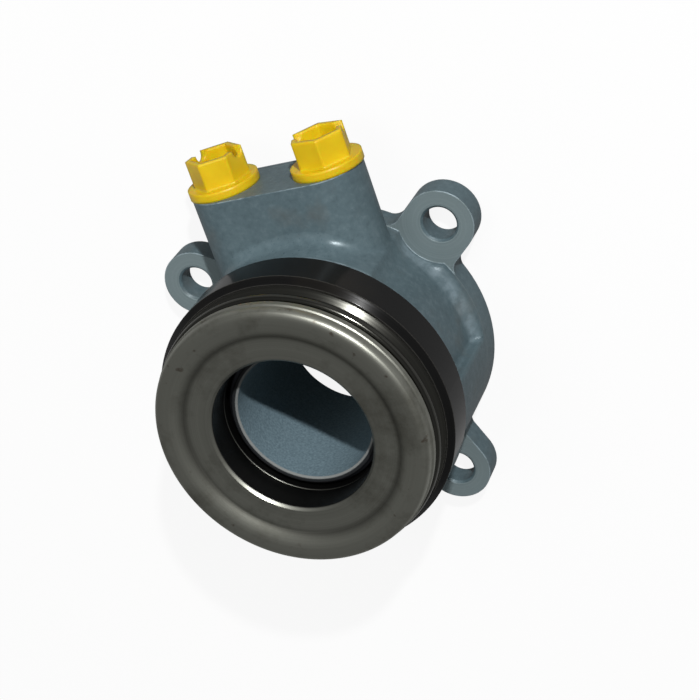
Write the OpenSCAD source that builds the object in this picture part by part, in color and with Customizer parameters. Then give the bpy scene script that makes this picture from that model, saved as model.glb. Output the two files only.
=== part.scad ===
// Concentric slave cylinder for a clutch: an annular hydraulic cylinder round the gearbox shaft,
// pushing a ball release bearing. Millimetres. The mounting face is z = 0, the bearing faces +Z,
// the port block points to +Y, and the shaft bore is on the Z axis.

/* [Barrel and sleeve] */
// outside diameter of the barrel
body_d = 55.6; // [55:0.1:56.6]
// height of the barrel above the mounting face
body_h = 24.5; // [24.1:0.1:24.9]
// bore that the gearbox shaft passes through
shaft_bore_d = 26.4; // [24.4:0.2:26.6]
// wall of the inner sleeve
sleeve_wall = 1.1; // [1:0.05:1.2]
// height of the sleeve above the mounting face
sleeve_h = 34; // [33.7:0.1:34.4]
// bore of the annular cylinder
cylinder_d = 44; // [43.5:0.1:44.5]
// thickness of metal under the cylinder
floor_h = 6.5; // [6.1:0.1:6.6]
// recess in the back face that locates the cylinder on the gearbox
register_d = 32; // [30:0.5:34]
// depth of that recess
register_h = 3.9; // [3:0.1:4.2]

/* [Lugs] */
// pitch circle of the three fixing holes
lug_circle_d = 67.2; // [66:0.2:70]
// fixing hole
lug_hole_d = 6.6; // [6.2:0.1:7]
// radius of the rounded end of a lug
lug_end_r = 6.8; // [6.4:0.1:7.2]
// thickness of a lug
lug_h = 5.4; // [5:0.1:5.8]
// spot face for the bolt head
spot_face_d = 16.4; // [15.6:0.1:17]
// direction of the first lug, from +X
lug_first_angle = 40; // [36:1:44]
// step from the first lug to each of the other two
lug_step_angle = 107; // [104:1:110]

/* [Port block] */
// distance between the two ports
port_spacing = 21.8; // [21:0.2:22.4]
// width of the block across both ports
block_w = 34.9; // [34.6:0.1:36]
// depth of the block along the axis
block_depth = 15.4; // [15:0.1:15.8]
// height of the port axes above the mounting face
port_z = 11.6; // [11.4:0.1:11.9]
// distance from the shaft axis to the top of the block
block_top = 39; // [38:0.5:41]
// thread of the ports
port_thread_d = 10; // [9.6:0.1:10.2]
// depth of the tapped holes
port_depth = 11; // [10:0.5:12]

/* [Piston] */
// travel of the piston
stroke = 8; // [7:0.1:8]
// radial running clearance of the piston
piston_gap = 0.06; // [0.04:0.01:0.09]
// height of the two seals
seal_h = 2.9; // [2.6:0.05:2.9]
// radial section of the two seals
seal_w = 2.5; // [2.3:0.1:2.6]

/* [Release bearing] */
// bore of the contact ring
contact_bore_d = 31; // [30.8:0.1:31.4]
// outside diameter of the contact ring
contact_d = 53; // [52.4:0.1:53.4]
// ball diameter
ball_d = 6; // [5.9:0.05:6]
// pitch circle of the balls
ball_circle_d = 45.2; // [45:0.05:45.3]
// wall of the outer ring outside the balls
race_wall = 3.2; // [3:0.1:3.5]
// number of balls
ball_count = 16; // [12:1:16]
// height of the crest of the contact lip above the mounting face
contact_z = 42.8; // [42.4:0.1:43.2]

/* [Port plugs] */
// flange of a plug
plug_flange_d = 13.9; // [13.5:0.1:14.4]
// thickness of that flange
plug_flange_h = 1.7; // [1.4:0.1:2]
// hexagon of a plug across its flats
plug_hex_af = 9.6; // [9.2:0.1:10]
// height of the hexagon above the flange
plug_hex_h = 5.4; // [5:0.1:6]
// wall of the hollow hexagon
plug_wall = 1; // [0.8:0.1:1.2]
// turn of the plug on the left
left_plug_turn = -10; // [-30:1:30]
// turn of the plug on the right
right_plug_turn = 17; // [-30:1:30]

/* [Hidden] */
$fn = 96;
eps = 0.02;
BODY_COLOUR = [0.31, 0.38, 0.41];
STEEL_COLOUR = [0.45, 0.45, 0.42];
BLACK_COLOUR = [0.12, 0.12, 0.12];
YELLOW_COLOUR = [0.87, 0.72, 0.12];

body_r = body_d / 2;
bore_r = shaft_bore_d / 2;
sleeve_r = bore_r + sleeve_wall;
cylinder_r = cylinder_d / 2;
edge = 0.6;
sleeve_edge = 0.25;
// The rounds of the casting run this far below the faces that they meet.
sink = 0.05;

// The wall is relieved beside the first lug, down to a cove that runs out at the foot of the barrel.
relief_r = body_r - 2.3;
relief_z = lug_h + 1.5;
relief_cove = 2.2;
relief_from = -5;
relief_to = lug_first_angle;

lug_r = lug_circle_d / 2;
lug_angles = [for (i = [0, 1, -1]) lug_first_angle + i * lug_step_angle];
lug_fillet = 3;
spot_r = spot_face_d / 2;
lug_chamfer = 0.5;

port_x = port_spacing / 2;
block_r = block_depth / 2;
block_x = block_w / 2 - block_r;
block_front = port_z + block_r;
block_fillet = 2.4;
port_bore_r = port_thread_d / 2 - 0.54;
drilling_r = 1.4;
drilling_z = floor_h + 1.9;

// Heights of the piston, built up from the cylinder floor.
piston_z = floor_h + 0.1;
tail_top = piston_z + 2.3;
groove_z = tail_top + 1.4;
groove_h = seal_h + 0.1;
seat_z = body_h + 0.85;
spigot_r = 19.7;
spigot_top = seat_z + 3.75;
piston_in_r = sleeve_r + piston_gap;
piston_out_r = cylinder_r - piston_gap;
stop_seat_z = sleeve_h - 1.9 - stroke;
stop_z = stop_seat_z + stroke + 0.15;
stop_h = 0.85;
stop_r = sleeve_r + 0.8;
nose_bore_r = stop_r + 0.5;
clip_h = 0.8;
clip_out_r = spigot_r + 1.2;
clip_in_r = spigot_r - 0.75;

wiper_h = 1.8;
wiper_z = body_h - 0.8 - wiper_h;
wiper_r = cylinder_r + 1.55;

// Heights of the bearing, built up from its seat on the piston and from the size of the balls.
web_h = 2.35;
web_top = seat_z + web_h;
ball_r = ball_d / 2;
ball_gap = 0.05;
pitch_r = ball_circle_d / 2;
outer_r = pitch_r + ball_r + race_wall;
race_r = pitch_r + ball_r + 0.35;
ball_z = web_top + ball_r + 2;
outer_front = ball_z + 0.63 * ball_r;
outer_bevel = 1.2;
sheet = 0.8;
shield_r = race_r + 1.35;
shield_seat_z = ball_z + 0.1 * ball_r;
neck_r = shield_r - 1.1;
neck_z = outer_front + 1.2;
bead_r = 0.95;
bead_z = ball_z + 1.7 * ball_r;
cage_in = ball_r / 3;
cage_out = 0.4 * ball_r;
cage_drop = ball_r / 8;
cage_h = 1.6 * ball_r;
contact_r = contact_d / 2;
contact_bore_r = contact_bore_d / 2;
flange_back = bead_z + bead_r + 0.35;
annulus_z = contact_z - 1.5;
collar_z = annulus_z - 0.85;
collar = 0.3;
lip_round = 1.2;
lip_proud = 0.03;
lip_r = contact_r - 5.6;
hub_r = pitch_r - ball_r;
hub_wall = 0.53 * ball_r;
hub_z = spigot_top + 0.6;

plug_shank = 8;
slot_r = 1.5;
slot_h = 1.7;
slot_y = 1.1;

module ring(inner, outer, z, h) {
    translate([0, 0, z])
        difference() {
            cylinder(r = outer, h = h);
            translate([0, 0, -eps]) cylinder(r = inner, h = h + 2 * eps);
        }
}

module along_y() {
    rotate([-90, 0, 0]) children();
}

// Plan of one lug along +X: rounded end, straight sides and a fillet into the barrel on each side.
module lug_plan() {
    fillet_r = body_r + lug_fillet - sink;
    fillet_y = lug_end_r + lug_fillet - sink;
    fillet_x = sqrt(fillet_r * fillet_r - fillet_y * fillet_y);
    touch = (body_r - sink) / fillet_r;
    translate([lug_r, 0]) circle(r = lug_end_r);
    translate([relief_r - 1, -lug_end_r]) square([lug_r - relief_r + 1, 2 * lug_end_r]);
    for (side = [1, -1])
        difference() {
            polygon([[relief_r - 4, 0], [fillet_x, 0], [fillet_x, side * lug_end_r],
                     [fillet_x, side * fillet_y], [fillet_x * touch, side * fillet_y * touch],
                     [relief_r - 4, side * lug_end_r]]);
            translate([fillet_x, side * fillet_y]) circle(r = lug_fillet);
        }
}

// Section of the relief, from the wall outwards, with its cove at the foot.
module relief_section() {
    difference() {
        translate([relief_r, relief_z]) square([body_r + 0.8 - relief_r, body_h]);
        difference() {
            translate([relief_r, relief_z]) square(relief_cove);
            translate([relief_r + relief_cove, relief_z + relief_cove]) circle(r = relief_cove);
        }
    }
}

module barrel() {
    rotate_extrude()
        polygon([[0, 0], [body_r, 0], [body_r, body_h - edge], [body_r - edge, body_h], [0, body_h]]);
}

module relief() {
    rotate([0, 0, relief_from])
        rotate_extrude(angle = relief_to - relief_from) relief_section();
}

// Section of a fillet of radius r in the corner at the origin.
module fillet_section(r, back) {
    middle = r - sink;
    difference() {
        translate([-back, -1]) square([middle + back, middle + 1]);
        translate([middle, middle]) circle(r = r);
    }
}

// Fillet between the flat front of the block and the barrel, running out in a round at each end.
module front_fillet() {
    reach = asin(block_x / (body_r + block_fillet));
    rotate([0, 0, 90 - reach])
        rotate_extrude(angle = 2 * reach)
            translate([body_r, block_front]) fillet_section(block_fillet, 1);
    for (side = [1, -1])
        rotate([0, 0, 90 + side * reach])
            translate([body_r - 4 * sink, 0, block_front])
                rotate_extrude() fillet_section(block_fillet + 6 * sink, 0);
}

module port_block() {
    intersection() {
        union() {
            translate([-block_x, 0, port_z - block_r]) cube([2 * block_x, block_top, block_depth]);
            for (side = [1, -1])
                translate([side * block_x, 0, port_z]) along_y() cylinder(r = block_r, h = block_top);
        }
        translate([-body_d, cylinder_r - 6, 0]) cube([2 * body_d, block_top, body_h]);
    }
    front_fillet();
}

module ports() {
    for (side = [1, -1]) {
        translate([side * port_x, block_top - port_depth, port_z])
            along_y() cylinder(r = port_bore_r, h = port_depth + 1);
        translate([side * port_x, block_top - edge, port_z])
            along_y() cylinder(r1 = port_bore_r, r2 = port_bore_r + 2 * edge, h = 2 * edge);
        translate([side * port_x, cylinder_r - 6, drilling_z])
            along_y() cylinder(r = drilling_r, h = block_top - port_depth - cylinder_r + 7);
    }
}

module lug_hole() {
    translate([0, 0, -1]) cylinder(r = lug_hole_d / 2, h = lug_h + 2);
    translate([0, 0, lug_h - lug_chamfer])
        cylinder(r1 = lug_hole_d / 2, r2 = lug_hole_d / 2 + 2 * lug_chamfer, h = 2 * lug_chamfer);
    translate([0, 0, -lug_chamfer])
        cylinder(r1 = lug_hole_d / 2 + 2 * lug_chamfer, r2 = lug_hole_d / 2, h = 2 * lug_chamfer);
}

// Casting, machined and hard anodised; the sleeve, the block and the lugs are one piece with it.
module body() {
    color(BODY_COLOUR) {
        difference() {
            union() {
                difference() {
                    union() {
                        barrel();
                        port_block();
                    }
                    relief();
                }
                for (a = lug_angles) rotate([0, 0, a]) linear_extrude(lug_h) lug_plan();
            }
            for (a = lug_angles)
                rotate([0, 0, a]) translate([lug_r, 0, 0]) {
                    lug_hole();
                    translate([0, 0, lug_h]) cylinder(r = spot_r, h = body_h);
                }
            ring(sleeve_r, cylinder_r, floor_h, body_h);
            ring(cylinder_r - 1, wiper_r, wiper_z, wiper_h);
            translate([0, 0, body_h - edge]) cylinder(r1 = cylinder_r, r2 = cylinder_r + 2 * edge, h = 2 * edge);
            ports();
            translate([0, 0, -1]) cylinder(r = bore_r, h = body_h + 2);
            translate([0, 0, -1]) cylinder(r = register_d / 2, h = register_h + 1);
        }
        sleeve();
    }
}

module sleeve() {
    difference() {
        ring(bore_r, sleeve_r, register_h, sleeve_h - register_h);
        ring(sleeve_r - 0.5, sleeve_r + 1, stop_z, stop_h);
        translate([0, 0, sleeve_h - sleeve_edge])
            cylinder(r1 = bore_r, r2 = bore_r + 2 * sleeve_edge, h = 2 * sleeve_edge);
        translate([0, 0, register_h - edge])
            cylinder(r1 = bore_r + 2 * edge, r2 = bore_r, h = 2 * edge);
    }
}

// Annular piston turned from aluminium: tail, seal lands, seat and spigot for the bearing.
module piston() {
    color(STEEL_COLOUR)
        rotate_extrude()
            difference() {
                polygon([[piston_in_r + 1, piston_z], [piston_out_r - 1.6, piston_z],
                         [piston_out_r - 1.6, tail_top], [piston_out_r, tail_top],
                         [piston_out_r, seat_z], [spigot_r, seat_z], [spigot_r, spigot_top],
                         [nose_bore_r, spigot_top], [nose_bore_r, stop_seat_z],
                         [piston_in_r, stop_seat_z], [piston_in_r, tail_top],
                         [piston_in_r + 1, tail_top]]);
                translate([piston_out_r - seal_w, groove_z]) square([seal_w + 1, groove_h]);
                translate([piston_in_r - 1, groove_z]) square([seal_w + 1, groove_h]);
                translate([clip_in_r, web_top]) square([2, clip_h + 0.05]);
            }
}

// A lip seal with its lips towards the fluid; side is 1 for the outer one and -1 for the inner one.
module lip_seal(wall_r, side) {
    outside = wall_r - side * 0.03;
    inside = wall_r - side * (piston_gap + seal_w - 0.03);
    middle = (outside + inside) / 2;
    color(BLACK_COLOUR)
        rotate_extrude()
            translate([0, groove_z + 0.05])
                polygon([[inside, 0.3], [middle - side * 0.5, 0], [middle, 1.2], [middle + side * 0.5, 0],
                         [outside, 0.3], [outside, 0.9], [outside - side * 0.25, seal_h],
                         [inside, seal_h]]);
}

module outer_seal() {
    lip_seal(cylinder_r, 1);
}

module inner_seal() {
    lip_seal(sleeve_r, -1);
}

// Rubber wiper in a groove at the mouth of the cylinder.
module dust_wiper() {
    color(BLACK_COLOUR)
        rotate_extrude()
            polygon([[cylinder_r + 0.1, wiper_z], [wiper_r, wiper_z], [wiper_r, wiper_z + wiper_h],
                     [cylinder_r + 0.1, wiper_z + wiper_h], [cylinder_r - 0.02, wiper_z + wiper_h - 0.4],
                     [cylinder_r + 0.1, wiper_z + 0.8]]);
}

// An open spring ring with a gap between its ends.
module open_ring(inner, outer, z, h, gap) {
    color(STEEL_COLOUR)
        difference() {
            ring(inner, outer, z, h);
            translate([0, -gap / 2, z - 1]) cube([outer + 1, gap, h + 2]);
        }
}

// Circlip on the end of the sleeve that stops the piston.
module stop_ring() {
    open_ring(sleeve_r - 0.5, stop_r, stop_z, stop_h, 6);
}

// Circlip on the spigot of the piston that holds the bearing on its seat.
module bearing_clip() {
    open_ring(clip_in_r, clip_out_r, web_top, clip_h, 8);
}

// Stationary ring of the bearing, black oxide finish, with a raceway inside it and a web at the back.
module outer_ring() {
    color(BLACK_COLOUR)
        rotate_extrude()
            difference() {
                polygon([[spigot_r + 0.05, seat_z], [outer_r - edge, seat_z], [outer_r, seat_z + edge],
                         [outer_r, outer_front - outer_bevel], [outer_r - outer_bevel, outer_front],
                         [shield_r, outer_front], [shield_r, shield_seat_z],
                         [race_r, shield_seat_z], [race_r, ball_z], [pitch_r + 0.6 * ball_r, ball_z],
                         [pitch_r + 0.6 * ball_r, web_top], [spigot_r + 0.05, web_top]]);
                translate([pitch_r, ball_z]) circle(r = ball_r + ball_gap);
            }
}

// Pressed steel shield in the mouth of the outer ring: skirt, conical shoulder and a rolled bead
// behind the contact ring.
module shield() {
    shoulder_z = neck_z - shield_r + neck_r;
    color(STEEL_COLOUR)
        rotate_extrude() {
            translate([shield_r - bead_r, bead_z]) circle(r = bead_r, $fn = 64);
            polygon([[shield_r - sheet, shield_seat_z], [shield_r, shield_seat_z], [shield_r, shoulder_z],
                     [neck_r, neck_z], [neck_r, bead_z], [neck_r - sheet, bead_z],
                     [neck_r - sheet, neck_z - sheet / 2], [shield_r - sheet, shoulder_z - sheet / 2]]);
        }
}

// Turning ring of the bearing: hub, raceway, flat annulus, and a slope up to the rounded lip that
// meets the clutch. The lip stands a little proud of the wall below it, which ends in a low collar.
module contact_ring() {
    crest = [contact_r - lip_round, contact_z - lip_round];
    run = crest - [lip_r, annulus_z];
    slope = atan2(run.y, run.x) + asin(lip_round / norm(run));
    touch = crest + (lip_round - lip_proud) * [-sin(slope), cos(slope)];
    rim_r = contact_r - lip_proud;
    color(STEEL_COLOUR)
        rotate_extrude() {
            difference() {
                polygon([[contact_bore_r, hub_z], [hub_r, hub_z], [hub_r, ball_z],
                         [hub_r + hub_wall, ball_z], [hub_r + hub_wall, flange_back],
                         [rim_r, flange_back], [rim_r + collar, flange_back + collar],
                         [rim_r + collar, collar_z], [rim_r, collar_z + collar], [rim_r, crest.y],
                         crest, touch, [lip_r, annulus_z], [contact_bore_r + edge, annulus_z],
                         [contact_bore_r, annulus_z - edge]]);
                translate([pitch_r, ball_z]) circle(r = ball_r + ball_gap);
            }
            translate(crest) circle(r = lip_round);
        }
}

module balls() {
    color(STEEL_COLOUR)
        for (i = [0 : ball_count - 1])
            rotate([0, 0, i * 360 / ball_count]) translate([pitch_r, 0, ball_z]) sphere(r = ball_r);
}

// Crown cage: a moulded ring above the balls with a pocket over each of them.
module cage() {
    color([0.2, 0.25, 0.2])
        difference() {
            ring(pitch_r - cage_in, pitch_r + cage_out, ball_z - cage_drop, cage_h);
            for (i = [0 : ball_count - 1])
                rotate([0, 0, i * 360 / ball_count])
                    translate([pitch_r, 0, ball_z]) sphere(r = ball_r + 0.15);
        }
}

// Moulded transit plug: threaded shank, round flange, hollow hexagon with a slot across it.
module plug(turn) {
    hex_r = plug_hex_af / 2 / cos(30);
    top = plug_flange_h + plug_hex_h;
    along_y() {
        translate([0, 0, -plug_shank]) cylinder(r = port_bore_r - 0.05, h = plug_shank + eps);
        cylinder(r = plug_flange_d / 2, h = plug_flange_h);
        rotate([0, 0, turn])
            difference() {
                rotate([0, 0, 30]) cylinder(r = hex_r, h = top, $fn = 6);
                translate([0, 0, plug_flange_h + 0.8])
                    rotate([0, 0, 30]) cylinder(r = hex_r - plug_wall / cos(30), h = top, $fn = 6);
                translate([-hex_r, slot_y, top - slot_h + slot_r])
                    rotate([0, 90, 0]) cylinder(r = slot_r, h = 2 * hex_r);
                translate([-hex_r, slot_y - slot_r, top - slot_h + slot_r])
                    cube([2 * hex_r, 2 * slot_r, slot_h]);
            }
    }
}

module port_plugs() {
    color(YELLOW_COLOUR) {
        translate([-port_x, block_top, port_z]) plug(left_plug_turn);
        translate([port_x, block_top, port_z]) plug(right_plug_turn);
    }
}

body();
port_plugs();
dust_wiper();
stop_ring();
piston();
outer_seal();
inner_seal();
outer_ring();
shield();
bearing_clip();
contact_ring();
balls();
cage();
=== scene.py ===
import math

import bmesh
import bpy
from mathutils import Matrix, Vector
from mathutils.geometry import interpolate_bezier


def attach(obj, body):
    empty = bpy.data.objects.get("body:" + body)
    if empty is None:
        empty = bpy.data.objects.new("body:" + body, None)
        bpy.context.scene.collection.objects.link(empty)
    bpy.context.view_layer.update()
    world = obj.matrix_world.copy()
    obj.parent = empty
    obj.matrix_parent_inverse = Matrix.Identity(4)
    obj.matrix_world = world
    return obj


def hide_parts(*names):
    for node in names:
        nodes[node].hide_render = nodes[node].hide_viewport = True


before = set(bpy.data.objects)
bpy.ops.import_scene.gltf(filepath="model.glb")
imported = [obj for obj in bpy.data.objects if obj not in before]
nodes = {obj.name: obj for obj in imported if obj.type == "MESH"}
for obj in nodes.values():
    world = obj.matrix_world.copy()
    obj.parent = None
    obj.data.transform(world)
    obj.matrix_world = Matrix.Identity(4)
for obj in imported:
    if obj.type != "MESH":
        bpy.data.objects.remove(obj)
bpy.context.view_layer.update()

# Housing
# One aluminium casting: barrel, inner sleeve, three lugs and the block for the two ports. It is machined
# where it seats and slides, then hard anodised blue-grey, so cast skin and cut faces differ in tone.

LUG_HOLES = ((0.02574, 0.02160), (-0.02818, 0.01830), (0.01313, -0.03093))
LUG_TOP = 0.0054
LUG_TOP_SLACK = 0.00008
HOLE_RIM = (0.0044, 0.0058)
RELIEF_X = (0.0135, 0.0145)
RELIEF_Y = (0.025, 0.024)
RELIEF_Z = (0.0056, 0.0062)
COVE_Z = (0.0091, 0.0077)
COVE_R = (0.0278, 0.0266)
EDGE_R = 0.0004
RELIEF_EDGE_R = 0.0016
EDGE_TURN = (0.998, 0.93)
BORE_WALL = (0.0136, 0.0134)
BARE_END_Z = 0.0337
BARE_END_R = (0.0135, 0.0137)
SKIN_ROUGHNESS = (0.4, 0.54)
COVE_POLISH = 0.12
BORE_DULLNESS = 0.4
SKIN_GRAIN = 0.00002


def srgb(red, green, blue):
    """A colour as it is seen, 0 to 255, made linear."""
    def linear(level):
        share = level / 255
        return share / 12.92 if share <= 0.04045 else ((share + 0.055) / 1.055) ** 2.4
    return linear(red), linear(green), linear(blue), 1.0


SKIN_DARK = srgb(76, 93, 99)
SKIN_LIGHT = srgb(90, 108, 114)
FLECK_DARK = srgb(64, 78, 83)
FLECK_LIGHT = srgb(108, 124, 130)
SKIN_STAIN = srgb(92, 92, 88)
CUT_DARK = srgb(104, 118, 121)
CUT_LIGHT = srgb(118, 131, 133)
# Pale tone for worn edges, and for painted highlights on the edges and in the cove.
WORN_AND_PAINTED_HIGHLIGHT = srgb(150, 166, 174)
HONED_DARK = srgb(86, 105, 114)
HONED_LIGHT = srgb(112, 133, 142)
BARE_END = srgb(122, 125, 124)
# Painted shade on the outer part of the sleeve's end.
END_PAINTED_SHADE = srgb(36, 38, 40)


def new_material(name):
    """A new material and its surface shader."""
    material = bpy.data.materials.new(name)
    material.use_nodes = True
    return material, material.node_tree.nodes["Principled BSDF"]


def feed(material, socket, value):
    """Sets a socket, or joins another node's output to it."""
    if isinstance(value, bpy.types.NodeSocket):
        material.node_tree.links.new(value, socket)
    else:
        socket.default_value = value


def add(material, kind, inputs=None, **settings):
    """A new shader node. Its inputs, by name or number, are values or the outputs of other nodes."""
    made = material.node_tree.nodes.new("ShaderNode" + kind)
    for name, value in settings.items():
        setattr(made, name, value)
    for name, value in (inputs or {}).items():
        feed(material, made.inputs[name], value)
    return made


def object_place(material):
    return add(material, "TexCoord").outputs["Object"]


def noise(material, place, scale, detail=3.0, roughness=0.55):
    """Cloudy noise; scale is in features to the metre."""
    return add(material, "TexNoise", {"Vector": place, "Scale": scale, "Detail": detail,
                                      "Roughness": roughness}).outputs["Fac"]


def spread(material, value, low, high, out_low=0.0, out_high=1.0):
    """Stretches a value from one range to another, and stops at the ends."""
    return add(material, "MapRange", {"Value": value, "From Min": low, "From Max": high,
                                      "To Min": out_low, "To Max": out_high}).outputs["Result"]


def maths(material, operation, first, second=0.0):
    return add(material, "Math", {0: first, 1: second}, operation=operation).outputs["Value"]


def blend_colour(material, share, first, second):
    made = add(material, "Mix", {"Factor": share}, data_type="RGBA")
    feed(material, made.inputs["A"], first)
    feed(material, made.inputs["B"], second)
    return made.outputs["Result"]


def bump(material, height, depth, normal=None):
    """Roughens the surface by a height of 0 to 1, which is depth metres deep."""
    inputs = {"Height": height, "Strength": 1.0, "Distance": depth}
    if normal is not None:
        inputs["Normal"] = normal
    return add(material, "Bump", inputs).outputs["Normal"]


def part_of(material, place, axis):
    return add(material, "SeparateXYZ", {"Vector": place}).outputs[axis]


def rounded(material, radius):
    """The normal with its edges rounded off."""
    return add(material, "Bevel", {"Radius": radius}, samples=8).outputs["Normal"]


def soft_edges(material, radius):
    """The normal with its edges rounded off, and how much of an edge each point is."""
    softened = rounded(material, radius)
    plain = add(material, "NewGeometry").outputs["Normal"]
    agree = add(material, "VectorMath", {0: softened, 1: plain}, operation="DOT_PRODUCT").outputs["Value"]
    return softened, spread(material, agree, *EDGE_TURN)


def flattened(material, place):
    """A place with its height taken out."""
    flat = add(material, "VectorMath", {0: place, 1: (1.0, 1.0, 0.0)}, operation="MULTIPLY")
    return flat.outputs["Vector"]


def lug_distance(material, place):
    """Distance from the axis of the nearest fixing hole."""
    flat = flattened(material, place)
    nearest = 1.0
    for x, y in LUG_HOLES:
        away = add(material, "VectorMath", {0: flat, 1: (x, y, 0.0)}, operation="DISTANCE").outputs["Value"]
        nearest = maths(material, "MINIMUM", nearest, away)
    return nearest


def radius_from_axis(material, place):
    """Distance from the shaft axis."""
    flat = flattened(material, place)
    return add(material, "VectorMath", {0: flat}, operation="LENGTH").outputs["Value"]


def cast_skin(name):
    """The cast, anodised skin: its material, shader, place, colour and grain."""
    material, shader = new_material(name)
    place = object_place(material)
    cloud = noise(material, place, 60.0, detail=5.0)
    flecks = noise(material, place, 800.0, detail=4.0, roughness=0.65)
    grain = noise(material, place, 2200.0)
    tone = blend_colour(material, spread(material, cloud, 0.3, 0.7), SKIN_DARK, SKIN_LIGHT)
    tone = blend_colour(material, spread(material, flecks, 0.5, 0.72, 0.0, 0.45), tone, FLECK_LIGHT)
    tone = blend_colour(material, spread(material, flecks, 0.46, 0.3, 0.0, 0.4), tone, FLECK_DARK)
    stain = spread(material, noise(material, place, 130.0, detail=4.0), 0.56, 0.72, 0.0, 0.35)
    tone = blend_colour(material, stain, tone, SKIN_STAIN)
    shader.inputs["Metallic"].default_value = 0.1
    shader.inputs["Specular IOR Level"].default_value = 0.35
    return material, shader, place, tone, grain


def housing_finish():
    material, shader, place, tone, grain = cast_skin("anodised_casting")
    height = part_of(material, place, "Z")
    reach = radius_from_axis(material, place)

    # The relief beside the right-hand lug has rounder edges, and its cove is lightened in a band as a painted
    # highlight.
    on_relief = maths(material, "MULTIPLY", spread(material, part_of(material, place, "X"), *RELIEF_X),
                      spread(material, part_of(material, place, "Y"), *RELIEF_Y))
    on_relief = maths(material, "MULTIPLY", on_relief, spread(material, height, *RELIEF_Z))
    in_cove = maths(material, "MULTIPLY", spread(material, height, *COVE_Z),
                    spread(material, reach, *COVE_R))
    in_cove = maths(material, "MULTIPLY", in_cove, on_relief)
    softened, edge = soft_edges(material, spread(material, on_relief, 0.0, 1.0, EDGE_R, RELIEF_EDGE_R))

    # The tops of the lugs are cut by a tool that leaves rings round each hole.
    away = lug_distance(material, place)
    rings = noise(material, add(material, "CombineXYZ", {"X": away}).outputs["Vector"], 2600.0)
    on_lug = add(material, "Math", {0: height, 1: LUG_TOP, 2: LUG_TOP_SLACK}, operation="COMPARE")
    cut = blend_colour(material, spread(material, rings, 0.3, 0.7), CUT_DARK, CUT_LIGHT)
    tone = blend_colour(material, on_lug.outputs["Value"], tone, cut)

    # Edges are lightened in patches, as wear and as painted highlights, but not at the hole rims or on the
    # relief.
    patchy = spread(material, noise(material, place, 500.0), 0.38, 0.62, 0.0, 0.75)
    wear_and_highlight_zone = maths(material, "MINIMUM", spread(material, away, *HOLE_RIM),
                   spread(material, on_relief, 0.1, 0.0))
    worn_and_highlit_edges = maths(material, "MULTIPLY", edge, maths(material, "MULTIPLY", patchy, wear_and_highlight_zone))
    # Painted highlight: a pale, grainy band along the middle of the cove.
    painted_cove_highlight = maths(material, "MULTIPLY", in_cove, spread(material, patchy, 0.0, 0.75, 0.1, 0.4))
    tone = blend_colour(material, maths(material, "ADD", worn_and_highlit_edges, painted_cove_highlight), tone, WORN_AND_PAINTED_HIGHLIGHT)

    # The shaft bore is honed. The end of the sleeve is bare metal at its inner edge and painted dark as shade
    # further out.
    in_bore = spread(material, reach, *BORE_WALL)
    honed = blend_colour(material, spread(material, grain, 0.3, 0.7), HONED_DARK, HONED_LIGHT)
    tone = blend_colour(material, in_bore, tone, honed)
    at_end = maths(material, "GREATER_THAN", height, BARE_END_Z)
    bare_end_and_painted_shade = blend_colour(material, spread(material, reach, *BARE_END_R), BARE_END, END_PAINTED_SHADE)
    tone = blend_colour(material, at_end, tone, bare_end_and_painted_shade)

    feed(material, shader.inputs["Base Color"], tone)
    matt = spread(material, grain, 0.2, 0.8, *SKIN_ROUGHNESS)
    matt = maths(material, "SUBTRACT", matt, maths(material, "MULTIPLY", in_cove, COVE_POLISH))
    matt = maths(material, "ADD", matt, maths(material, "MULTIPLY", in_bore, BORE_DULLNESS))
    feed(material, shader.inputs["Roughness"], matt)
    feed(material, shader.inputs["Normal"], bump(material, grain, SKIN_GRAIN, softened))
    return material


def dress(node, material):
    """A CAD node keeps its mesh and takes a finish."""
    nodes[node].data.materials.clear()
    nodes[node].data.materials.append(material)


dress("body", housing_finish())

# Round between the barrel and the port block
# Part of the casting: the wall flares out towards the lug on the right and runs into the front and the
# rounded ends of the block with a cast radius. It is laid over the corner of the plain solid.

BARREL_R = 0.0278
BLOCK_FRONT = 0.0193
BLOCK_END_X = 0.00975
BLOCK_END_R = 0.0077
ROUND_R = 0.0026
END_R = 0.0002
RIGHT_RUN = 6.0
LEFT_RUN = 18.0
SUNK = 0.00003
TOP_SUNK = 0.0001
FOOT_SUNK = 0.001
FOOT_DROP = 0.0004
ROUND_FROM = 54
ROUND_TO = 126
ROUND_STEP = 1.0
ARC_STEPS = 8
WALL_TOP = 0.0237
FLARE = 0.0008
FLARE_RISE = 24.0
FLARE_FALL = 28.0
FLARE_TO = 100.0
ROUND_POLISH = (0.0165, 0.0105, 0.0, 0.16)
SHARP_ANGLE = 35.0


def smooth(share):
    """Goes gently from 0 to 1, and stays there."""
    share = min(max(share, 0.0), 1.0)
    return share * share * (3.0 - 2.0 * share)


def flare(angle):
    """How far the wall stands out from the barrel at an angle in degrees about the shaft."""
    return FLARE * smooth((angle - ROUND_FROM) / FLARE_RISE) * smooth((FLARE_TO - angle) / FLARE_FALL)


def radius_at(angle):
    """The radius of the round, which runs out at both ends, sooner on the right than on the left."""
    full = smooth((angle - ROUND_FROM) / RIGHT_RUN) * smooth((ROUND_TO - angle) / LEFT_RUN)
    return END_R + (ROUND_R - END_R) * full


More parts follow.
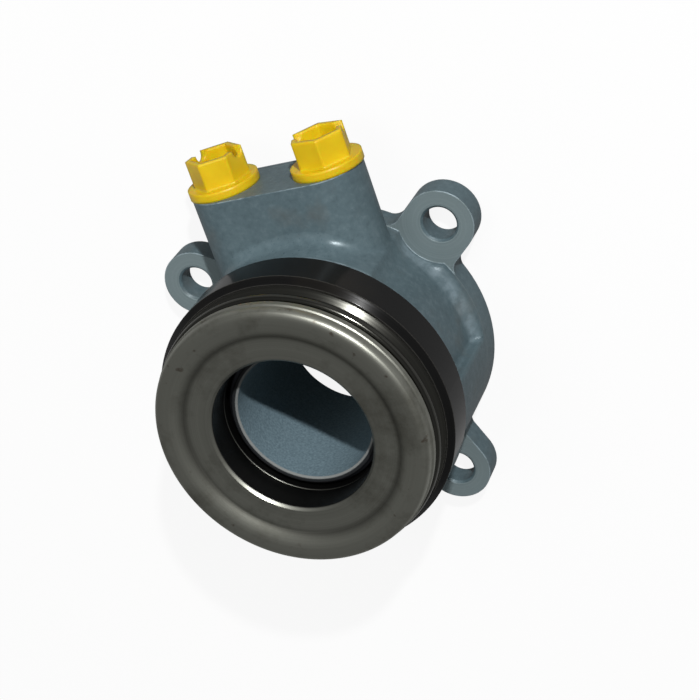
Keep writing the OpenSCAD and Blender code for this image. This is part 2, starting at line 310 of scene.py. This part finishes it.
def round_section(angle):
    """The points of one section, from the top of the wall, down the arc, and back inside the metal."""
    about = math.radians(angle)
    outward = Vector((math.cos(about), math.sin(about), 0.0))
    radius = radius_at(angle)
    reach = BARREL_R + flare(angle) + radius
    beyond = abs(reach * outward.x) - BLOCK_END_X
    if beyond > 0.0:
        lean = math.acos(min(beyond / (BLOCK_END_R + radius), 1.0))
        to_block = Vector((-math.copysign(math.cos(lean), outward.x), 0.0, -math.sin(lean)))
        centre_z = BLOCK_FRONT - BLOCK_END_R + (BLOCK_END_R + radius) * math.sin(lean)
    else:
        to_block = Vector((0.0, 0.0, -1.0))
        centre_z = BLOCK_FRONT + radius
    centre = outward * reach + Vector((0.0, 0.0, centre_z))
    points = [outward * (BARREL_R - TOP_SUNK) + Vector((0.0, 0.0, WALL_TOP))]
    for step in range(ARC_STEPS + 1):
        towards = (-outward).slerp(to_block, step / ARC_STEPS)
        points.append(centre + towards * (radius + SUNK))
    points.append(outward * (BARREL_R - FOOT_SUNK) + Vector((0.0, 0.0, points[-1].z - FOOT_DROP)))
    return points


def finish_piece(shape, name, material, body):
    """Turns a shape into an object that moves with a body."""
    bmesh.ops.recalc_face_normals(shape, faces=shape.faces)
    mesh = bpy.data.meshes.new(name)
    shape.to_mesh(mesh)
    shape.free()
    mesh.shade_smooth()
    mesh.set_sharp_from_angle(angle=math.radians(SHARP_ANGLE))
    mesh.materials.append(material)
    piece = bpy.data.objects.new(name, mesh)
    bpy.context.collection.objects.link(piece)
    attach(piece, body)
    return piece


def closed_loop(shape, points):
    """New corners, and the edges that join them in a ring."""
    corners = [shape.verts.new(point) for point in points]
    return corners, [shape.edges.new((corner, corners[i - 1])) for i, corner in enumerate(corners)]


def round_finish():
    material, shader, place, tone, grain = cast_skin("cast_round")
    feed(material, shader.inputs["Base Color"], tone)
    polish = spread(material, part_of(material, place, "X"), *ROUND_POLISH)
    matt = spread(material, grain, 0.2, 0.8, *SKIN_ROUGHNESS)
    feed(material, shader.inputs["Roughness"], maths(material, "SUBTRACT", matt, polish))
    feed(material, shader.inputs["Normal"], bump(material, grain, SKIN_GRAIN))
    return material


def block_round():
    shape = bmesh.new()
    last = None
    count = round((ROUND_TO - ROUND_FROM) / ROUND_STEP)
    for station in range(count + 1):
        corners, loop = closed_loop(shape, round_section(ROUND_FROM + station * ROUND_STEP))
        if last:
            bmesh.ops.bridge_loops(shape, edges=last + loop)
        if station in (0, count):
            shape.faces.new(corners)
        last = loop
    finish_piece(shape, "block_round", round_finish(), "housing")


block_round()

# Port plugs
# Two moulded plastic plugs that close the ports in transit: a threaded shank, a round flange and a hollow
# hexagon with a slot across it.

PLUG_DARK = srgb(207, 173, 8)
PLUG_LIGHT = srgb(219, 187, 18)
PLUG_EDGE_R = 0.0008
PLUG_GRAIN = 0.00002


def plug_finish():
    material, shader = new_material("yellow_plastic")
    place = object_place(material)
    cloud = noise(material, place, 160.0)
    grain = noise(material, place, 900.0, detail=2.0)
    feed(material, shader.inputs["Base Color"],
         blend_colour(material, spread(material, cloud, 0.3, 0.7), PLUG_DARK, PLUG_LIGHT))
    feed(material, shader.inputs["Roughness"], spread(material, grain, 0.2, 0.8, 0.34, 0.46))
    shader.inputs["Subsurface Weight"].default_value = 0.3
    shader.inputs["Subsurface Scale"].default_value = 0.002
    feed(material, shader.inputs["Normal"],
         bump(material, grain, PLUG_GRAIN, rounded(material, PLUG_EDGE_R)))
    return material


dress("port_plugs", plug_finish())

# Seals and wiper
# Moulded black rubber: two lip seals in the piston's grooves and the wiper at the mouth of the cylinder.
# They are pressed into their grooves and stay there by their own stretch.

RUBBER_DARK = srgb(24, 24, 25)
RUBBER_LIGHT = srgb(38, 38, 38)


def rubber_finish():
    material, shader = new_material("black_rubber")
    grain = noise(material, object_place(material), 1200.0)
    feed(material, shader.inputs["Base Color"], blend_colour(material, grain, RUBBER_DARK, RUBBER_LIGHT))
    feed(material, shader.inputs["Roughness"], spread(material, grain, 0.2, 0.8, 0.5, 0.7))
    return material


rubber = rubber_finish()
for seal in ("outer_seal", "inner_seal", "dust_wiper"):
    dress(seal, rubber)

# Piston and spring rings
# The annular piston is turned from aluminium. A circlip on the sleeve stops it, and another holds the
# bearing on its spigot; both are blued spring steel.

TURNING_MARKS = 3000.0
TURNED_EDGE_R = 0.00025
PISTON_DARK = srgb(150, 153, 156)
PISTON_LIGHT = srgb(176, 178, 180)
SPRING_DARK = srgb(66, 68, 74)
SPRING_LIGHT = srgb(88, 90, 96)


def turning_marks(material, scale):
    """Fine rings left by a lathe tool: noise that changes along the radius and along the axis only."""
    place = object_place(material)
    along = add(material, "CombineXYZ", {"X": radius_from_axis(material, place),
                                         "Y": part_of(material, place, "Z")})
    return noise(material, along.outputs["Vector"], scale, detail=4.0, roughness=0.7)


def turned_finish(name, dark, light, roughness, depth):
    """Bare turned metal, whose marks are depth metres deep."""
    material, shader = new_material(name)
    marks = turning_marks(material, TURNING_MARKS)
    feed(material, shader.inputs["Base Color"],
         blend_colour(material, spread(material, marks, 0.25, 0.75), dark, light))
    feed(material, shader.inputs["Roughness"], spread(material, marks, 0.2, 0.8, *roughness))
    shader.inputs["Metallic"].default_value = 1.0
    feed(material, shader.inputs["Normal"], bump(material, marks, depth, rounded(material, TURNED_EDGE_R)))
    return material


dress("piston", turned_finish("turned_aluminium", PISTON_DARK, PISTON_LIGHT,
                              roughness=(0.3, 0.42), depth=0.000004))
spring_steel = turned_finish("spring_steel", SPRING_DARK, SPRING_LIGHT, roughness=(0.28, 0.4), depth=0.000002)
for clip in ("stop_ring", "bearing_clip"):
    dress(clip, spring_steel)

# Outer ring
# The stationary ring of the release bearing: turned steel with a glossy black oxide finish. Its front bevel's
# edges are lightened as wear to the steel and as painted highlights, and brown patches are a painted sheen.

OXIDE_MARKS = 3500.0
OXIDE_MARK_DEPTH = 0.000002
OXIDE_EDGE_R = 0.0003
OXIDE_DARK = srgb(14, 14, 14)
OXIDE_LIGHT = srgb(20, 20, 20)
# Brown for patches that are a painted sheen.
PAINTED_BROWN_SHEEN = srgb(27, 25, 22)
# Pale for the bevel's edges: wear to the steel and painted highlights.
OXIDE_WORN_AND_HIGHLIT = srgb(96, 95, 90)


def black_oxide_finish():
    material, shader = new_material("black_oxide")
    marks = turning_marks(material, OXIDE_MARKS)
    # Painted reflection: random brown patches stand in for a brownish sheen.
    brown_sheen_patches = spread(material, noise(material, object_place(material), 45.0), 0.5, 0.75)
    tone = blend_colour(material, spread(material, marks, 0.25, 0.75), OXIDE_DARK, OXIDE_LIGHT)
    tone = blend_colour(material, brown_sheen_patches, tone, PAINTED_BROWN_SHEEN)
    # The edges are lightened, as wear and as painted highlights.
    softened, edge = soft_edges(material, OXIDE_EDGE_R)
    tone = blend_colour(material, maths(material, "MULTIPLY", edge, 0.4), tone, OXIDE_WORN_AND_HIGHLIT)
    feed(material, shader.inputs["Base Color"], tone)
    feed(material, shader.inputs["Roughness"], spread(material, marks, 0.2, 0.8, 0.12, 0.2))
    shader.inputs["Specular IOR Level"].default_value = 0.14
    feed(material, shader.inputs["Normal"], bump(material, marks, OXIDE_MARK_DEPTH, softened))
    return material


dress("outer_ring", black_oxide_finish())

# Shield
# A pressed ring of bright steel in the mouth of the outer ring, with a conical shoulder and a rolled,
# polished bead.

SHIELD_DARK = srgb(74, 74, 70)
SHIELD_LIGHT = srgb(92, 92, 87)

dress("shield", turned_finish("pressed_steel", SHIELD_DARK, SHIELD_LIGHT,
                              roughness=(0.16, 0.23), depth=0.000001))

# Contact ring
# The moving ring of the bearing, turned from steel and carried by the balls. Its face has fine rings and dull
# stains and curves up to a rounded lip, which runs on the fingers of the clutch spring; the lip is painted
# lighter towards its crest and painted shade darkens its foot. Its bore is painted dark as shade and has a
# small groove.

CONTACT_BORE_R = 0.0155
CONTACT_BACK = 0.0297
GROOVE_Z = 0.0347
GROOVE = 0.0002
BORE_EDGE = 0.0006
ANNULUS_Z = 0.0413
LIP_FROM = 0.0209
LIP_FOOT = 0.0006
LIP_LEAN = 0.001
LIP_CREST = 0.0245
LIP_TOP = 0.0428
CREST_RUN = 0.0014
RIM_R = 0.02647
RIM_DROP = 0.0005
COLLAR = 0.0003
COLLAR_Z = 0.04045
FLANGE_BACK = 0.0391
HUB_R = 0.0196
HUB_FRONT_R = 0.02119
RACE_R = 0.00305
RACE_AT = (0.0226, 0.0327)
RACE_FROM = 117.6
RACE_STEP = 6.07
RACE_STEPS = 12
CURVE_POINTS = 14
TURN_STEPS = 160
STEEL_MARKS = 2600.0
STEEL_MARK_DEPTH = 0.000003
STEEL_EDGE_R = 0.0002
SPOTS_R = (0.0215, 0.0235)
BORE_SHADE_R = (0.0157, 0.01555)
CORNER_WIDTH = 0.0011
STEEL_DARK = srgb(143, 144, 135)
STEEL_LIGHT = srgb(167, 168, 159)
# Painted light: the lip's lighter tone towards its crest.
PAINTED_LIP_LIGHT = srgb(156, 157, 148)
STEEL_STAIN = srgb(104, 103, 94)
# Painted shade in the corner at the foot of the lip.
PAINTED_CORNER_SHADE = srgb(62, 61, 56)
BROWN_SPOT = srgb(84, 66, 52)
# Painted shade for the bore.
PAINTED_BORE_SHADE = srgb(58, 58, 57)


def curve(start, leave, arrive, end):
    """Radius and height along a curve that leaves and arrives in the direction of two middle points."""
    knots = [Vector((radius, height, 0.0)) for radius, height in (start, leave, arrive, end)]
    return [(point.x, point.y) for point in interpolate_bezier(*knots, CURVE_POINTS)]


def contact_section():
    """Radius and height round the section: up the bore, over the face and lip, and back by the race."""
    section = [(CONTACT_BORE_R, CONTACT_BACK), (CONTACT_BORE_R, GROOVE_Z - GROOVE),
               (CONTACT_BORE_R + GROOVE, GROOVE_Z), (CONTACT_BORE_R, GROOVE_Z + GROOVE),
               (CONTACT_BORE_R, ANNULUS_Z - BORE_EDGE), (CONTACT_BORE_R + BORE_EDGE, ANNULUS_Z)]
    section += curve((LIP_FROM - LIP_FOOT, ANNULUS_Z), (LIP_FROM, ANNULUS_Z),
                     (LIP_FROM + LIP_LEAN, LIP_TOP), (LIP_CREST, LIP_TOP))
    section += curve((LIP_CREST, LIP_TOP), (LIP_CREST + CREST_RUN, LIP_TOP),
                     (RIM_R, LIP_TOP - RIM_DROP), (RIM_R, ANNULUS_Z))[1:]
    section += [(RIM_R, COLLAR_Z + COLLAR), (RIM_R + COLLAR, COLLAR_Z),
                (RIM_R + COLLAR, FLANGE_BACK + COLLAR), (RIM_R, FLANGE_BACK), (HUB_FRONT_R, FLANGE_BACK)]
    for step in range(RACE_STEPS + 1):
        about = math.radians(RACE_FROM + RACE_STEP * step)
        section.append((RACE_AT[0] + RACE_R * math.cos(about), RACE_AT[1] + RACE_R * math.sin(about)))
    return section + [(HUB_R, CONTACT_BACK)]


def contact_finish():
    material, shader = new_material("bearing_steel")
    place = object_place(material)
    marks = turning_marks(material, STEEL_MARKS)
    reach = radius_from_axis(material, place)
    tone = blend_colour(material, spread(material, marks, 0.25, 0.75), STEEL_DARK, STEEL_LIGHT)
    # Painted shading: the lip grows lighter from its foot to its crest.
    tone = blend_colour(material, spread(material, reach, LIP_FROM, LIP_CREST), tone, PAINTED_LIP_LIGHT)
    stain = spread(material, noise(material, place, 60.0, detail=7.0, roughness=0.7), 0.48, 0.66, 0.0, 0.75)
    tone = blend_colour(material, stain, tone, STEEL_STAIN)
    # Painted shade: a dark band along the corner at the foot of the lip.
    from_corner = maths(material, "ABSOLUTE", maths(material, "SUBTRACT", reach, LIP_FROM))
    corner_shade = spread(material, from_corner, CORNER_WIDTH, 0.0, 0.0, 0.6)
    tone = blend_colour(material, corner_shade, tone, PAINTED_CORNER_SHADE)
    spots = spread(material, noise(material, place, 420.0), 0.66, 0.74, 0.0, 0.6)
    spots = maths(material, "MULTIPLY", spots, spread(material, reach, *SPOTS_R))
    tone = blend_colour(material, spots, tone, BROWN_SPOT)
    # Painted shade: the bore wall is made dark.
    tone = blend_colour(material, spread(material, reach, *BORE_SHADE_R), tone, PAINTED_BORE_SHADE)
    feed(material, shader.inputs["Base Color"], tone)
    shader.inputs["Metallic"].default_value = 1.0
    dull = maths(material, "ADD", maths(material, "MULTIPLY", stain, 0.12),
                 spread(material, reach, LIP_FROM, LIP_FROM + LIP_LEAN, 0.0, 0.05))
    feed(material, shader.inputs["Roughness"],
         maths(material, "ADD", spread(material, marks, 0.2, 0.8, 0.34, 0.46), dull))
    feed(material, shader.inputs["Normal"],
         bump(material, marks, STEEL_MARK_DEPTH, rounded(material, STEEL_EDGE_R)))
    return material


def contact_ring():
    shape = bmesh.new()
    corners, outline = closed_loop(shape, [(radius, 0.0, height) for radius, height in contact_section()])
    bmesh.ops.spin(shape, geom=corners + outline, cent=(0.0, 0.0, 0.0), axis=(0.0, 0.0, 1.0),
                   angle=2.0 * math.pi, steps=TURN_STEPS, use_merge=True)
    piece = finish_piece(shape, "turned_contact_ring", contact_finish(), "bearing_face")
    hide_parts("contact_ring")


contact_ring()

# Balls and cage
# Polished steel balls run between the two rings, held apart by a crown cage that is moulded in one piece
# and snaps over them.

BALL_DARK = srgb(170, 172, 174)
BALL_LIGHT = srgb(184, 186, 188)
CAGE_DARK = srgb(58, 68, 58)
CAGE_LIGHT = srgb(74, 84, 72)


def cage_finish():
    material, shader = new_material("cage_plastic")
    grain = noise(material, object_place(material), 800.0)
    feed(material, shader.inputs["Base Color"], blend_colour(material, grain, CAGE_DARK, CAGE_LIGHT))
    feed(material, shader.inputs["Roughness"], spread(material, grain, 0.2, 0.8, 0.4, 0.55))
    return material


dress("balls", turned_finish("ball_steel", BALL_DARK, BALL_LIGHT, roughness=(0.05, 0.1), depth=0.0000005))
dress("cage", cage_finish())

# Studio
# A pale floor under the mounting face and a dim even world. The key light stands low beside the camera, and
# two wide, weak lamps lift the shade above the ports and behind, without a shine of their own on the metal.

FLOOR_HALF = 3.0
FLOOR_DARK = srgb(98, 98, 98)
FLOOR_LIGHT = srgb(106, 106, 106)
FLOOR_SEEN = srgb(232, 232, 232)
FLOOR_GLOW = 0.9
FLOOR_IN_METAL = 0.3
WHITE = (1.0, 1.0, 1.0, 1.0)
WORLD_LEVEL = 0.18
LAMP_AIM = Vector((0.0, 0.004, 0.02))


def floor_finish():
    material, shader = new_material("studio_floor")
    path = add(material, "LightPath")
    tone = blend_colour(material, noise(material, object_place(material), 3.0), FLOOR_DARK, FLOOR_LIGHT)
    tone = blend_colour(material, path.outputs["Is Camera Ray"], tone, FLOOR_SEEN)
    feed(material, shader.inputs["Base Color"], tone)
    shader.inputs["Roughness"].default_value = 0.9
    in_metal = maths(material, "MULTIPLY", path.outputs["Is Glossy Ray"], FLOOR_IN_METAL)
    seen = maths(material, "MAXIMUM", path.outputs["Is Camera Ray"], path.outputs["Is Transmission Ray"])
    seen = maths(material, "MAXIMUM", seen, in_metal)
    glow = add(material, "Emission", {"Color": WHITE, "Strength": 1.0})
    mixed = add(material, "MixShader", {0: maths(material, "MULTIPLY", seen, FLOOR_GLOW),
                                        1: shader.outputs["BSDF"], 2: glow.outputs["Emission"]})
    feed(material, material.node_tree.nodes["Material Output"].inputs["Surface"], mixed.outputs["Shader"])
    return material


sheet = bmesh.new()
bmesh.ops.create_grid(sheet, x_segments=1, y_segments=1, size=FLOOR_HALF)
floor_mesh = bpy.data.meshes.new("floor")
sheet.to_mesh(floor_mesh)
sheet.free()
floor_mesh.materials.append(floor_finish())
floor = bpy.data.objects.new("floor", floor_mesh)
bpy.context.collection.objects.link(floor)

world = bpy.data.worlds.new("studio")
world.use_nodes = True
background = world.node_tree.nodes["Background"]
background.inputs["Color"].default_value = WHITE
background.inputs["Strength"].default_value = WORLD_LEVEL
bpy.context.scene.world = world


def softbox(name, azimuth, elevation, distance, size, watts, mirrored):
    """A round lamp that faces the object, at angles in degrees. Metal mirrors it only if it is mirrored."""
    lamp = bpy.data.lights.new(name, "AREA")
    lamp.shape = "DISK"
    lamp.size = size
    lamp.energy = watts
    holder = bpy.data.objects.new(name, lamp)
    around = math.radians(azimuth)
    above = math.radians(elevation)
    away = Vector((math.cos(above) * math.cos(around), math.cos(above) * math.sin(around), math.sin(above)))
    holder.location = LAMP_AIM + away * distance
    holder.rotation_euler = away.to_track_quat("Z", "Y").to_euler()
    holder.visible_glossy = mirrored
    bpy.context.collection.objects.link(holder)


softbox("key", azimuth=52.0, elevation=38.5, distance=0.8, size=0.03, watts=6.3, mirrored=True)
softbox("fill", azimuth=125.0, elevation=64.0, distance=1.4, size=0.9, watts=4.8, mirrored=False)
softbox("back", azimuth=235.0, elevation=13.0, distance=1.4, size=0.5, watts=4.0, mirrored=False)

# Camera
# At the photograph's place and angle: it looks down on the bearing with the port block at the top.

CAMERA_AT = (0.14962, 0.13975, 0.30512)
CAMERA_RIGHT = Vector((0.90024, -0.31019, -0.30554))
CAMERA_UP = Vector((0.13701, 0.86791, -0.47745))
LENS = 94.39
SENSOR = 36.0

camera_data = bpy.data.cameras.new("camera")
camera_data.lens = LENS
camera_data.sensor_width = SENSOR
camera = bpy.data.objects.new("camera", camera_data)
camera.location = CAMERA_AT
turn = Matrix((CAMERA_RIGHT, CAMERA_UP, CAMERA_RIGHT.cross(CAMERA_UP))).transposed()
camera.rotation_euler = turn.to_euler()
bpy.context.collection.objects.link(camera)
bpy.context.scene.camera = camera
bpy.context.scene.view_settings.view_transform = "Standard"
